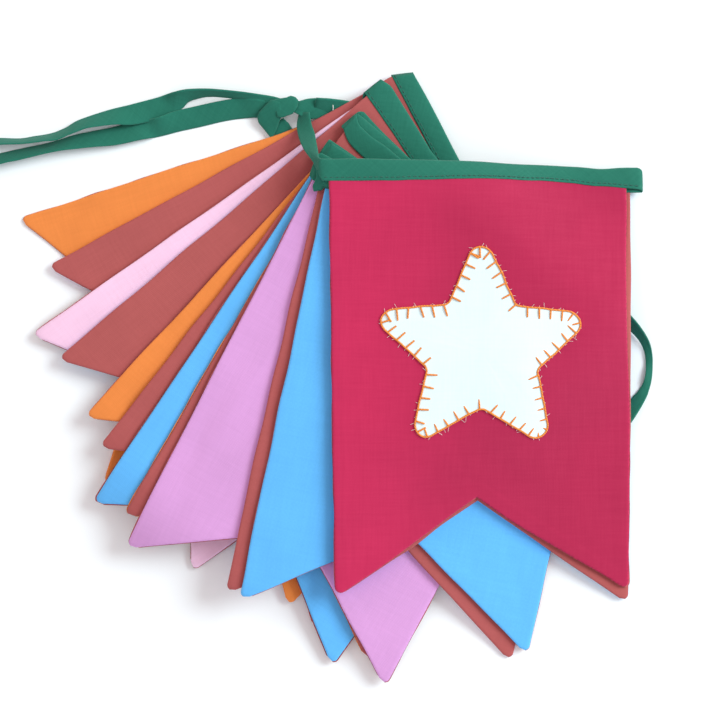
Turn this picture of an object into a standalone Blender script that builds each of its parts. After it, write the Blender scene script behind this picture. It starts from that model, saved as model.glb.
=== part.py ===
"""Fabric bunting, folded flag on flag and fanned out on a flat surface.

Thirteen swallow-tailed flags, each a front and a back panel, hang from one long folded tape. The string
is folded back and forth at the gaps between its flags, so that every other flag lies face down, and the
pile is fanned out clockwise about its upper left corner. The two ends of the tape meet beside that corner
in a knot, and their tails run off to the left.

Units are metres and +Z is up. Everything is laid out in plan from the corner where flag 1's heading
starts, and is moved at the end so that the origin lies on the surface under the middle of the object.
"""

from collections import namedtuple
from functools import lru_cache
from math import ceil, cos, floor, hypot, pi, radians, sin

import bmesh
import bpy
from mathutils import Vector

MM = 0.001

# The flag: its cloth starts below the heading tape.
FLAG_WIDTH = 168 * MM
FLAG_DROP = 229 * MM  # from the tape's lower edge to the tips of the tails
NOTCH_DEPTH = 53 * MM
TAIL_INSET = 5.0 * MM  # a tip's centre, in from the flag's side
TIP_RADIUS = 3 * MM
TIP_STEPS = 3
CLOTH = 1.0 * MM
CLEARANCE = 0.3 * MM

# The tape, folded in half along its length.
TAPE_WIDTH = 12.5 * MM
TAPE_THICKNESS = 1.0 * MM
GAP = 12.5 * MM  # bare tape between two flags
SPAN = FLAG_WIDTH + GAP  # one flag's share of the heading, fold to fold
FLAG_LENGTH = TAPE_WIDTH + FLAG_DROP
TUCK = 4.5 * MM  # how far a fold of the heading is tucked in from the middle of its gap
HEADING_STEPS = 14
FOLD_STEPS = 4

# The pile. All layers share one triangular lattice in plan, so one layer never cuts through another.
PITCH = 3.0 * MM  # height that one flag adds to the pile
TAPE_LIFT = 1.6 * MM  # height that the tape under the pile adds to it
EASE_OUT = 60 * MM  # distance over which the cloth above comes down past an edge
CELL = 34 * MM
CUTTER_BOTTOM = -10 * MM
CUTTER_HEIGHT = 80 * MM
TAPE_MIDDLE = 0.5 * MM  # the tape's centre above the underside of its flag

# The appliqué on flag 1: a star with rounded points, in the middle of the flag.
STAR_ACROSS = 84 * MM  # its middle, from the flag's left side
STAR_DOWN = 93 * MM  # its middle, from the tape's lower edge
STAR_RADIUS = 58 * MM
STAR_WAIST = 0.56  # inner corners, as a share of the radius
STAR_POINT_RADIUS = 7 * MM
STAR_POINT_STEPS = 3

Flag = namedtuple("Flag", "turn skew right up size front")

# The pile from the top down: the turn of each flag clockwise in degrees, how much further its heading is
# turned, the place in plan of its heading's left end from flag 1's in mm, its size as a share of the usual
# one, as hand-made flags differ, and its front cloth. Even flags lie face down. All backs are brick cotton.
FLAGS = (
    Flag(-0.4, 1.1, 0.0, 2.7, 1.02, "crimson_linen"),
    Flag(-0.3, 0.6, 0.9, -0.3, 1.03, "blue_cotton"),
    Flag(12.4, -0.9, 0.6, 0.1, 1.035, "blue_cotton"),
    Flag(13.0, 1.6, -4.4, 5.0, 1.04, "pink_cotton"),
    Flag(27.6, 0.9, -1.5, 8.8, 1.035, "lilac_cotton"),
    Flag(30.4, 0.9, 5.0, 14.2, 1.0, "orange_cotton"),
    Flag(34.3, 0.1, 3.3, 17.6, 1.025, "blue_cotton"),
    Flag(38.4, 2.3, 18.3, 34.2, 0.995, "crimson_linen"),
    Flag(43.2, 0.2, 23.8, 37.4, 0.985, "orange_cotton"),
    Flag(50.2, -0.4, 32.0, 52.8, 1.005, "blue_cotton"),
    Flag(55.2, 0.7, 30.8, 50.9, 1.01, "pink_cotton"),
    Flag(61.9, 0.3, 50.7, 63.6, 0.985, "lilac_cotton"),
    Flag(72.6, 0.0, 55.6, 52.0, 1.0, "orange_cotton"),
)

Colour = namedtuple("Colour", "red green blue roughness")

COLOURS = {
    "crimson_linen": Colour(0.60, 0.03, 0.10, 0.85),
    "blue_cotton": Colour(0.14, 0.50, 0.98, 0.85),
    "lilac_cotton": Colour(0.70, 0.34, 0.70, 0.85),
    "pink_cotton": Colour(0.95, 0.66, 0.95, 0.85),
    "orange_cotton": Colour(0.85, 0.24, 0.06, 0.85),
    "brick_cotton": Colour(0.44, 0.09, 0.09, 0.85),
    "green_tape": Colour(0.03, 0.24, 0.17, 0.80),
    "white_cotton": Colour(0.80, 0.90, 0.92, 0.90),
}

Row = namedtuple("Row", "right up height width heading")

# The tape's rows: the middle of the tape in plan and its height over the surface in mm, its width there in
# mm, and the way that the tape runs, in degrees anticlockwise from +X.
FRONT_STRAND = (  # from flag 1's corner, down off the pile to the knot
    Row(-2.5, -3.0, 37, 12, 160),
    Row(-5.0, 0.0, 36.5, 9.5, 122),
    Row(-6.0, 4.5, 33, 8.5, 98),
    Row(-7.0, 10.0, 26.5, 8, 97),
    Row(-7.5, 16.0, 20, 7.5, 97),
    Row(-8.0, 21.5, 14, 7, 95),
    Row(-8.5, 26.5, 10, 6.5, 95),
)
BACK_STRAND = (  # from flag 13's free end, out past the pile in a loop, and back under it to the knot
    Row(107.5, -134.0, 1.2, 12.5, -70),
    Row(111.5, -145.5, 0.5, 12.5, -62),
    Row(119.0, -156.0, 0.5, 12.5, -46),
    Row(130.0, -163.5, 0.5, 12.5, -24),
    Row(144.0, -165.5, 0.5, 12.5, 2),
    Row(158.5, -161.0, 0.5, 12, 30),
    Row(171.5, -151.0, 0.5, 11, 47),
    Row(181.5, -137.5, 0.5, 9, 60),
    Row(188.0, -124.0, 0.5, 8, 80),
    Row(188.5, -110.0, 0.5, 8, 99),
    Row(184.0, -96.5, 0.5, 9, 117),
    Row(176.0, -84.5, 0.5, 11, 130),
    Row(157.5, -67.0, 0.5, 12.5, 138),
    Row(128.0, -42.0, 0.5, 12.5, 141),
    Row(98.5, -18.5, 0.5, 12.5, 142),
    Row(69.0, 3.5, 0.5, 12.5, 144),
    Row(43.5, 20.5, 0.5, 12.5, 148),
    Row(22.0, 32.0, 0.5, 12, 157),
    Row(8.5, 35.5, 0.5, 11, 172),
    Row(-2.5, 36.5, 2.6, 9.5, 178),
)
UPPER_TAIL = (
    Row(-34.5, 39.0, 4.2, 8, 175),
    Row(-49.0, 40.5, 3.2, 6.5, 175),
    Row(-64.5, 43.0, 2.3, 5.5, 176),
    Row(-80.5, 42.5, 2, 8, 188),
    Row(-97.0, 37.5, 2, 12, 198),
    Row(-114.5, 31.5, 2, 12.5, 197),
    Row(-132.5, 26.0, 2.3, 11.5, 201),
    Row(-148.0, 19.5, 2, 8, 204),
    Row(-162.0, 14.5, 1.8, 6.5, 195),
    Row(-178.5, 12.5, 1.7, 5, 186),
    Row(-198.0, 12.5, 0.5, 6, 176),
    Row(-223.5, 15.5, 0.5, 9, 172),
    Row(-253.0, 18.0, 0.5, 12, 176),
)
LOWER_TAIL = (
    Row(-34.0, 30.5, 1.4, 8, 185),
    Row(-48.5, 29.0, 0.5, 10.5, 188),
    Row(-66.5, 27.0, 0.5, 12, 189),
    Row(-90.0, 22.0, 0.5, 12.5, 192),
    Row(-115.5, 17.5, 0.5, 12.5, 192),
    Row(-140.0, 12.5, 0.5, 11.5, 190),
    Row(-162.0, 8.5, 0.5, 9.5, 192),
    Row(-186.5, 3.0, 0.5, 9, 193),
    Row(-218.0, -5.0, 0.5, 11, 193),
    Row(-257.0, -13.0, 0.5, 12.5, 191),
)

# The knot: a rounded wrap of tape with one flattened fold that points down to the left of it. The fold's
# outline is in plan, in mm.
KNOT_RIGHT = -17 * MM
KNOT_UP = 36.5 * MM
KNOT_RADII = (12.5 * MM, 7.5 * MM, 5.0 * MM)
KNOT_FOLD_THICKNESS = 3.0 * MM
KNOT_FOLD_HEIGHT = 5.0 * MM
KNOT_FOLD = ((-30.5, 39.5), (-35.0, 28.0), (-26.5, 18.5), (-18.0, 27.0), (-15.5, 36.0))


def directions(flag):
    """The ways across and down a flag in plan, each as long as the flag's size makes one unit."""
    heading, side = radians(flag.turn + flag.skew), radians(flag.turn)
    across = Vector((cos(heading), -sin(heading))) * flag.size
    down = Vector((-sin(side), -cos(side))) * flag.size
    return across, down


def local(flag, x, y):
    """A point in plan as a place on a flag: across from its heading's left end, and down from its top."""
    across, down = directions(flag)
    offset = Vector((x - flag.right * MM, y - flag.up * MM))
    whole = across.cross(down)
    return offset.cross(down) / whole, across.cross(offset) / whole


def place(flag, across, down):
    """The point in plan of a place on a flag."""
    way_across, way_down = directions(flag)
    point = Vector((flag.right, flag.up)) * MM + way_across * across + way_down * down
    return point.x, point.y


def ease(distance):
    """1 at an edge, coming smoothly down to 0 where the cloth above has settled."""
    step = min(max(distance / EASE_OUT, 0.0), 1.0)
    return 1 - step * step * (3 - 2 * step)


def flag_cover(flag, x, y):
    """How far a flag lifts the cloth above it: 1 over the flag, easing to 0 beyond its edges."""
    across, down = local(flag, x, y)
    return ease(hypot(max(-across, across - SPAN, 0), max(-down, down - FLAG_LENGTH, 0)))


def tape_cover(x, y):
    """How far the tape under the pile lifts the cloth above it."""
    nearest = min(
        distance_to_run(x, y, a, b) for a, b in zip(BACK_STRAND[:-1], BACK_STRAND[1:])
    )
    return ease(nearest - TAPE_WIDTH / 2)


def distance_to_run(x, y, start, end):
    """The distance in plan from a point to the straight run between two rows of the tape."""
    first = Vector((start.right, start.up)) * MM
    run = Vector((end.right, end.up)) * MM - first
    point = Vector((x, y)) - first
    share = min(max(point.dot(run) / run.length_squared, 0), 1)
    return (point - run * share).length


@lru_cache(maxsize=None)
def lattice_height(layer, column, row):
    """The underside of a layer at a corner of the lattice: all that lies under it, added up."""
    x, y = column * CELL, row * CELL
    flags_below = sum(flag_cover(flag, x, y) for flag in FLAGS[layer + 1 :])
    return PITCH * flags_below + TAPE_LIFT * tape_cover(x, y)


def height(layer, x, y):
    """The underside of a layer at any place: flat on each triangle of the lattice."""
    column, row = floor(x / CELL), floor(y / CELL)
    s, t = x / CELL - column, y / CELL - row
    here = lattice_height(layer, column, row)
    opposite = lattice_height(layer, column + 1, row + 1)
    if s > t:
        side = lattice_height(layer, column + 1, row)
        return here + s * (side - here) + t * (opposite - side)
    side = lattice_height(layer, column, row + 1)
    return here + t * (side - here) + s * (opposite - side)


def arc(centre, radius, start, end, steps):
    """Points on an arc, angles in degrees."""
    angles = [radians(start + (end - start) * step / steps) for step in range(steps + 1)]
    return [(centre[0] + radius * cos(angle), centre[1] + radius * sin(angle)) for angle in angles]


def flag_outline():
    """Half the flag's outline, rounded at the tip, and its mirror image. Across and down, below the tape."""
    side = GAP / 2
    top = TAPE_WIDTH + 3 * CLEARANCE
    tip = (side + TAIL_INSET, FLAG_LENGTH - TIP_RADIUS)
    left = [(side, top)]
    left += arc(tip, TIP_RADIUS, 180, 56, TIP_STEPS)
    notch = (SPAN / 2, FLAG_LENGTH - NOTCH_DEPTH)
    right = [(SPAN - across, down) for across, down in reversed(left)]
    return left + [notch] + right


def star_outline():
    """A five-pointed star with rounded points, across and down on flag 1."""
    points = []
    for corner in range(10):
        angle = -90 + 36 * corner
        pointed = corner % 2 == 0
        reach = STAR_RADIUS - STAR_POINT_RADIUS if pointed else STAR_RADIUS * STAR_WAIST
        across = GAP / 2 + STAR_ACROSS + reach * cos(radians(angle))
        down = TAPE_WIDTH + STAR_DOWN + reach * sin(radians(angle))
        if pointed:
            points += arc((across, down), STAR_POINT_RADIUS, angle - 60, angle + 60, STAR_POINT_STEPS)
        else:
            points.append((across, down))
    return points


def make_object(name, bm, collection):
    """A mesh object from a finished bmesh, its faces turned outwards."""
    bmesh.ops.recalc_face_normals(bm, faces=bm.faces[:])
    mesh = bpy.data.meshes.new(name)
    bm.to_mesh(mesh)
    bm.free()
    made = bpy.data.objects.new(name, mesh)
    collection.objects.link(made)
    return made


def extrude_up(bm, thickness):
    """Closes an open sheet into a solid of one vertical thickness."""
    grown = bmesh.ops.extrude_face_region(bm, geom=bm.faces[:])["geom"]
    corners = [item for item in grown if isinstance(item, bmesh.types.BMVert)]
    bmesh.ops.translate(bm, verts=corners, vec=(0, 0, thickness))


def cutter(name, flag, outline, collection):
    """A tall prism with an outline given across and down on a flag, to cut its cloth to shape."""
    bm = bmesh.new()
    bm.faces.new([bm.verts.new((*place(flag, *point), CUTTER_BOTTOM)) for point in outline])
    extrude_up(bm, CUTTER_HEIGHT)
    made = make_object(name, bm, collection)
    made.hide_render = True
    made.display_type = "WIRE"
    return made


def draped_piece(name, layer, lift, shape, material, collection):
    """Cloth of one thickness lying on the layers below, cut to the shape of a prism."""
    flag = FLAGS[layer]
    corners = [place(flag, across, down) for across in (0, SPAN) for down in (0, FLAG_LENGTH)]
    first = [floor(min(axis) / CELL) for axis in zip(*corners)]
    last = [ceil(max(axis) / CELL) for axis in zip(*corners)]
    columns, rows = last[0] - first[0], last[1] - first[1]
    bm = bmesh.new()
    bmesh.ops.create_grid(bm, x_segments=columns, y_segments=rows, size=0.5)
    for corner in bm.verts:
        column = first[0] + round((corner.co.x + 0.5) * columns)
        row = first[1] + round((corner.co.y + 0.5) * rows)
        z = lattice_height(layer, column, row) + lift
        corner.co = (column * CELL, row * CELL, z)
    bmesh.ops.triangulate(bm, faces=bm.faces[:], quad_method="FIXED")
    extrude_up(bm, CLOTH)
    made = make_object(name, bm, collection)
    made.data.materials.append(material)
    cut = made.modifiers.new("cut to shape", "BOOLEAN")
    cut.operation = "INTERSECT"
    cut.object = shape
    return made


def heading_rows(layer):
    """The tape's two edges along one flag, in the way that the tape runs: left to right on odd flags."""
    flag = FLAGS[layer]
    # Flag 1's left end and flag 13's right end run on as strands, and the top fold isn't tucked in.
    start = 0 if layer == 0 else TUCK
    end = SPAN if layer in (0, 1, len(FLAGS) - 1) else SPAN - TUCK
    rows = []
    for step in range(HEADING_STEPS + 1):
        across = start + (end - start) * step / HEADING_STEPS
        edges = [place(flag, across, down) for down in (0, TAPE_WIDTH)]
        rows.append([Vector((x, y, height(layer, x, y) + TAPE_MIDDLE)) for x, y in edges])
    return rows if layer % 2 == 0 else rows[::-1]


def fold_rows(before, after, outward):
    """The half turn from one flag's heading down to the next one's."""
    rows = []
    for step in range(1, FOLD_STEPS):
        turn = pi * step / FOLD_STEPS
        share = (1 - cos(turn)) / 2
        rows.append(
            [
                top.lerp(bottom, share) + outward * (abs(top.z - bottom.z) / 2 * sin(turn))
                for top, bottom in zip(before, after)
            ]
        )
    return rows


def strand_rows(rows):
    """The tape's two edges from a table of rows. The first edge lies to the right of the way it runs."""
    edges = []
    for row in rows:
        middle = Vector((row.right, row.up, row.height)) * MM
        turn = radians(row.heading)
        side = Vector((sin(turn), -cos(turn), 0)) * (row.width / 2 * MM)
        edges.append([middle + side, middle - side])
    return edges


def tape(name, rows, material, collection):
    """A flat tape through its rows of two edge points, thickened evenly about its middle."""
    bm = bmesh.new()
    made = [[bm.verts.new(point) for point in row] for row in rows]
    for here, onward in zip(made[:-1], made[1:]):
        bm.faces.new((here[0], here[1], onward[1], onward[0]))
    ribbon = make_object(name, bm, collection)
    ribbon.data.materials.append(material)
    solid = ribbon.modifiers.new("thickness", "SOLIDIFY")
    solid.thickness = TAPE_THICKNESS
    solid.offset = 0
    return ribbon


def heading_tape(materials, collection):
    """The whole heading: the front strand, each flag's heading with its folds, and the back strand."""
    headings = [heading_rows(layer) for layer in range(len(FLAGS))]
    # The front strand's table runs away from flag 1, so it is turned round to run towards it.
    front = [[right, left] for left, right in reversed(strand_rows(FRONT_STRAND))]
    rows = front + headings[0]
    for layer in range(1, len(FLAGS)):
        turn = radians(FLAGS[layer].turn)
        outward = Vector((cos(turn), -sin(turn), 0)) * (1 if layer % 2 else -1)
        rows += fold_rows(headings[layer - 1][-1], headings[layer][0], outward) + headings[layer]
    # Flag 13's first edge is its top one, which is the left one as the tape runs on from it.
    rows += [[left, right] for right, left in strand_rows(BACK_STRAND)]
    return tape("heading_tape", rows, materials["green_tape"], collection)


def knot(materials, collection, helpers):
    """The wrap of the knot, a flattened ball, joined with its one flat fold."""
    bm = bmesh.new()
    bmesh.ops.create_uvsphere(bm, u_segments=16, v_segments=9, radius=1)
    bmesh.ops.scale(bm, verts=bm.verts[:], vec=KNOT_RADII)
    bmesh.ops.translate(bm, verts=bm.verts[:], vec=(KNOT_RIGHT, KNOT_UP, KNOT_RADII[2] + CLEARANCE))
    wrap = make_object("tie_knot", bm, collection)
    wrap.data.materials.append(materials["green_tape"])
    bm = bmesh.new()
    bm.faces.new([bm.verts.new((right * MM, up * MM, KNOT_FOLD_HEIGHT)) for right, up in KNOT_FOLD])
    extrude_up(bm, KNOT_FOLD_THICKNESS)
    fold = make_object("knot_fold", bm, helpers)
    fold.hide_render = True
    fold.display_type = "WIRE"
    joined = wrap.modifiers.new("with its fold", "BOOLEAN")
    joined.operation = "UNION"
    joined.object = fold
    return wrap


def make_materials():
    """One plain dyed cloth for each colour."""
    made = {}
    for name, colour in COLOURS.items():
        material = bpy.data.materials.new(name)
        material.use_nodes = True
        shader = material.node_tree.nodes["Principled BSDF"]
        shader.inputs["Base Color"].default_value = (colour.red, colour.green, colour.blue, 1)
        shader.inputs["Roughness"].default_value = colour.roughness
        shader.inputs["Metallic"].default_value = 0
        made[name] = material
    return made


def centre_on_surface(parts):
    """Moves every object so that the origin is on the surface, under the middle of them all."""
    bpy.context.view_layer.update()
    graph = bpy.context.evaluated_depsgraph_get()
    corners = [Vector(corner) for part in parts for corner in part.evaluated_get(graph).bound_box]
    low = [min(corner[axis] for corner in corners) for axis in range(3)]
    high = [max(corner[axis] for corner in corners) for axis in range(3)]
    middle = Vector(((low[0] + high[0]) / 2, (low[1] + high[1]) / 2, low[2]))
    for made in bpy.data.objects:
        made.location -= middle


def main():
    for old in list(bpy.data.objects):
        bpy.data.objects.remove(old)
    parts = bpy.data.collections.new("fabric_bunting")
    helpers = bpy.data.collections.new("cutters")
    bpy.context.scene.collection.children.link(parts)
    bpy.context.scene.collection.children.link(helpers)
    materials = make_materials()
    outline = flag_outline()
    upper = CLOTH + CLEARANCE
    for layer, flag in enumerate(FLAGS):
        number = f"flag_{layer + 1:02d}"
        shape = cutter(f"{number}_shape", flag, outline, helpers)
        face_up = layer % 2 == 0
        lift = {"front": upper if face_up else 0, "back": 0 if face_up else upper}
        cloth = {"front": materials[flag.front], "back": materials["brick_cotton"]}
        for side in ("front", "back"):
            draped_piece(f"{number}_{side}", layer, lift[side], shape, cloth[side], parts)
    star = cutter("star_shape", FLAGS[0], star_outline(), helpers)
    draped_piece("applique_star", 0, 2 * upper, star, materials["white_cotton"], parts)
    heading_tape(materials, parts)
    knot(materials, parts, helpers)
    for name, rows in (("tie_tail_upper", UPPER_TAIL), ("tie_tail_lower", LOWER_TAIL)):
        tape(name, strand_rows(rows), materials["green_tape"], parts)
    centre_on_surface(parts.objects)


main()
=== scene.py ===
"""Fabric bunting: the finished cloth, tape, thread, camera and light, built round the plain model.

Each flag is a front and a back panel sewn together, turned right side out and caught in a folded bias
tape. The string of flags is folded up flag on flag and fanned out, its two ends are knotted, and the top
flag carries a star sewn on with blanket stitch.

Places are given as on the part: on a flag, across from its heading's left end and down from its top; on
the surface, in plan from the corner where flag 1's heading starts.
"""

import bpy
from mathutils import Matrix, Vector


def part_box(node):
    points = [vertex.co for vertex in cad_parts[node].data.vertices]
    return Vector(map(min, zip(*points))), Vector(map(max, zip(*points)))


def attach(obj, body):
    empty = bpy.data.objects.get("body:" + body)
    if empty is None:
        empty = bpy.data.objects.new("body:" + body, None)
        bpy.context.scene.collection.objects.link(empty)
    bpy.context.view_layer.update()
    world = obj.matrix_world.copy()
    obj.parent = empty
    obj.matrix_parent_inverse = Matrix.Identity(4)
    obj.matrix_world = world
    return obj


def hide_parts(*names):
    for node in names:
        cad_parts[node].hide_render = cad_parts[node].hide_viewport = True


bl_info = {
    "name": "Fabric Bunting",
    "version": (1, 0, 0),
    "blender": (4, 5, 0),
    "location": "View3D > Sidebar > Bunting",
    "description": "Builds a fanned-out pile of swallow-tailed cloth flags on a knotted bias tape",
    "category": "Add Mesh",
}

from collections import namedtuple
from math import atan, cos, pi, radians, sin

import bmesh
import bpy
import numpy as np
from bpy.props import FloatProperty, FloatVectorProperty, PointerProperty
from mathutils import Vector

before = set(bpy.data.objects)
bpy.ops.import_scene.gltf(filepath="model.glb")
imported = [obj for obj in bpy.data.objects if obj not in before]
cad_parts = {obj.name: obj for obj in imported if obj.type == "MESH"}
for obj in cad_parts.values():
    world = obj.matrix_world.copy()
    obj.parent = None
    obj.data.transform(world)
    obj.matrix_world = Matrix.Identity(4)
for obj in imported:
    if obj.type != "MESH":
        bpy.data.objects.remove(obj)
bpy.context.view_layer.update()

MM = 0.001

# The cut of a flag and its tape, as on the part.
FLAG_WIDTH = 168 * MM
GAP = 12.5 * MM
TUCK = 4.5 * MM  # how far a fold of the heading is tucked in from the middle of its gap
SIDE = GAP / 2
SPAN = FLAG_WIDTH + GAP
TAPE_WIDTH = 12.5 * MM
FLAG_LENGTH = 241.5 * MM
NOTCH_DEPTH = 53 * MM
NOTCH_HALF_ANGLE = radians(57)
TAIL_INSET = 5.0 * MM
TIP_RADIUS = 3 * MM
TIP_STEPS = 12
CLOTH_TOP = 5 * MM  # the panels run up this close to the tape's fold
CAD_CLOTH_TOP = 13.4 * MM

# The pile, as on the part.
PITCH = 3.0 * MM
TAPE_LIFT = 1.6 * MM
EASE_OUT = 60 * MM
MIDDLE = 1.1 * MM  # middle of a flag's thickness, over its underside

Flag = namedtuple("Flag", "turn skew right up size front")
FLAGS = (
    Flag(-0.4, 1.1, 0.0, 2.7, 1.02, "crimson_linen"),
    Flag(-0.3, 0.6, 0.9, -0.3, 1.03, "blue_cotton"),
    Flag(12.4, -0.9, 0.6, 0.1, 1.035, "blue_cotton"),
    Flag(13.0, 1.6, -4.4, 5.0, 1.04, "pink_cotton"),
    Flag(27.6, 0.9, -1.5, 8.8, 1.035, "lilac_cotton"),
    Flag(30.4, 0.9, 5.0, 14.2, 1.0, "orange_cotton"),
    Flag(34.3, 0.1, 3.3, 17.6, 1.025, "blue_cotton"),
    Flag(38.4, 2.3, 18.3, 34.2, 0.995, "crimson_linen"),
    Flag(43.2, 0.2, 23.8, 37.4, 0.985, "orange_cotton"),
    Flag(50.2, -0.4, 32.0, 52.8, 1.005, "blue_cotton"),
    Flag(55.2, 0.7, 30.8, 50.9, 1.01, "pink_cotton"),
    Flag(61.9, 0.3, 50.7, 63.6, 0.985, "lilac_cotton"),
    Flag(72.6, 0.0, 55.6, 52.0, 1.0, "orange_cotton"),
)

# Where cloth is pressed or bent: a soft trough (negative) or ridge between two places on a flag, in mm.
Crease = namedtuple("Crease", "flag across down to_across to_down width depth")
CREASES = (
    Crease(1, 20, 200, 70, 120, 20, 0.2),
    Crease(1, 120, 60, 176, 150, 26, -0.12),
    Crease(1, 70, 148, 85, 180, 6, -0.14),
    Crease(1, 124, 146, 102, 184, 5, -0.12),
    Crease(1, 150, 30, 158, 120, 8, 0.1),
    Crease(3, 12, 120, 26, 232, 12, 0.35),
    Crease(3, 112, 205, 158, 214, 9, 0.25),
    Crease(3, 126, 188, 140, 232, 7, -0.2),
    Crease(3, 150, 190, 172, 236, 8, -0.35),
    Crease(5, 14, 150, 30, 236, 10, -0.4),
    Crease(5, 30, 90, 22, 200, 9, 0.35),
    Crease(7, 10, 150, 24, 236, 8, 0.35),
    Crease(9, 8, 170, 26, 225, 7, -0.4),
    Crease(11, 8, 150, 24, 236, 8, -0.4),
    Crease(12, 8, 150, 22, 230, 8, 0.4),
    Crease(13, 10, 60, 18, 190, 9, 0.5),
    Crease(13, 26, 120, 12, 230, 8, -0.5),
    Crease(13, 8, 196, 30, 214, 6, 0.45),
)

# How far a flag's lower panel rolls out past its upper one, where that is not usual: by flag number, in mm.
USUAL_ROLL_OUT = (0.1, -0.25)  # flags that lie face up, and face down
ROLL_OUT = {1: 0.3, 3: 0.2, 5: 0.35, 6: 0.55, 7: 0.6, 11: 0.3}

# Where a flag was cut or turned out of true: a place on it, how far round it that reaches, and the shift to
# the right and further down, in mm.
Cut = namedtuple("Cut", "flag across down reach right further")
HAND_CUT = (
    Cut(1, 90, 188, 45, -3.1, -1.2),
    Cut(1, 172, 80, 35, -2.2, 0.0),
    Cut(1, 172, 155, 45, 2.2, 0.0),
    Cut(1, 172, 232, 45, 2.5, 0.0),
    Cut(1, 171, 241, 40, 0.0, -3.4),
    Cut(2, 172, 80, 35, -1.2, 0.0),
    Cut(2, 172, 170, 60, 0.7, 0.0),
    Cut(2, 90, 188, 42, -4.0, -3.4),
    Cut(2, 20, 236, 50, 0.0, -5.0),
    Cut(4, 6, 30, 60, 2.0, 0.0),
    Cut(11, 6, 20, 110, 0.9, 0.0),
    Cut(12, 6, 0, 7, 3.5, 2.0),
    Cut(12, 6, 14, 9, -1.2, 0.0),
)

# How wide the tape shows on flag 1, where it was sewn on rolled forward: across and width, in mm.
TOP_TAPE_WIDTHS = (
    (0, 12.5), (20, 12.3), (45, 11.8), (60, 11.2), (78, 10.2), (98, 9.4),
    (125, 9.2), (145, 9.8), (156, 11.2), (166, 11.6), (180.5, 12.5),
)

# Left ends of headings that were folded askew: how much further in the tape's fold and its open edge start,
# by flag number, in mm.
SLANTED_ENDS = {8: (2.0, 0.0), 9: (2.0, 0.0), 11: (4.5, 4.0), 12: (4.5, 0.0), 13: (6.0, 0.0)}

# Headings that were pressed out of line: places across, and how much further down the flag the tape's fold and
# its open edge lie there, by flag number, in mm.
OUT_OF_LINE = {
    9: ((0, 2.5, 4.5), (25, 3.5, 4.5), (55, 4.5, 4.5)),
    10: ((4.5, -2.0, -2.0), (11, -4.0, -1.4), (55, 3.0, 3.0)),
    11: ((4.5, 1.0, -1.0), (55, 1.0, 1.0)),
}

# Loose stretches of tape: the middle in plan and the lowest edge's height in mm, the width that shows from
# above in mm, and how it is made narrower (1: rolled, left edge low; -1: right edge low; 0: only crumpled).
Row = namedtuple("Row", "right up height width roll")
Edges = namedtuple("Edges", "fold open")  # a place on the tape's fold, and the one opposite on its open edge
FRONT_STRAND = (
    Edges((-5.0, 32.0, 10.0), (-11.0, 32.0, 5.0)),
    Edges((-4.5, 28.0, 11.0), (-12.0, 28.5, 5.0)),
    Edges((-3.5, 23.5, 12.5), (-12.5, 24.5, 7.0)),
    Edges((-2.0, 19.5, 15.0), (-12.0, 20.0, 10.0)),
    Edges((-1.0, 14.0, 20.0), (-10.5, 14.5, 16.0)),
    Edges((0.0, 9.0, 26.0), (-8.0, 9.0, 22.5)),
    Edges((0.6, 5.2, 32.0), (-5.0, 4.5, 28.0)),
    Edges((0.9, 3.3, 35.5), (-2.5, 1.0, 32.0)),
    Edges((1.3, 2.7, 37.0), (-0.5, -3.0, 34.5)),
    Edges((2.0, 2.5, 38.0), (1.2, -7.0, 36.5)),
)
BACK_STRAND = (
    Row(107.5, -134.0, 1.2, 12.5, 1),
    Row(111.5, -145.5, 0.5, 12.5, 1),
    Row(119.0, -156.0, 0.5, 12.5, 1),
    Row(130.0, -163.5, 0.5, 12.5, 1),
    Row(144.0, -165.5, 0.5, 12.0, 1),
    Row(159.5, -159.0, 0.5, 11, 1),
    Row(173.0, -148.5, 0.5, 9.5, 1),
    Row(182.0, -138.5, 0.8, 8, 0.3),
    Row(189.8, -127.0, 1.2, 5, 0.0),
    Row(192.0, -114.0, 1.5, 4.0, 0.0),
    Row(190.3, -103.0, 1.2, 4.4, 0.1),
    Row(184.5, -94.2, 0.8, 5.0, 0.5),
    Row(174.0, -84.0, 0.5, 7.5, 1),
    Row(157.5, -67.0, 0.5, 12, 1),
    Row(128.0, -42.0, 0.5, 12.5, 1),
    Row(98.5, -18.5, 0.5, 12.5, 1),
    Row(69.0, 3.5, 0.5, 12.5, 1),
    Row(43.5, 20.5, 0.5, 12.5, 1),
    Row(22.0, 31.5, 0.5, 12, 1),
    Row(8.5, 34.5, 0.8, 11, 1),
    Row(-2.5, 35.5, 2.6, 9.5, 1),
)
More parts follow.
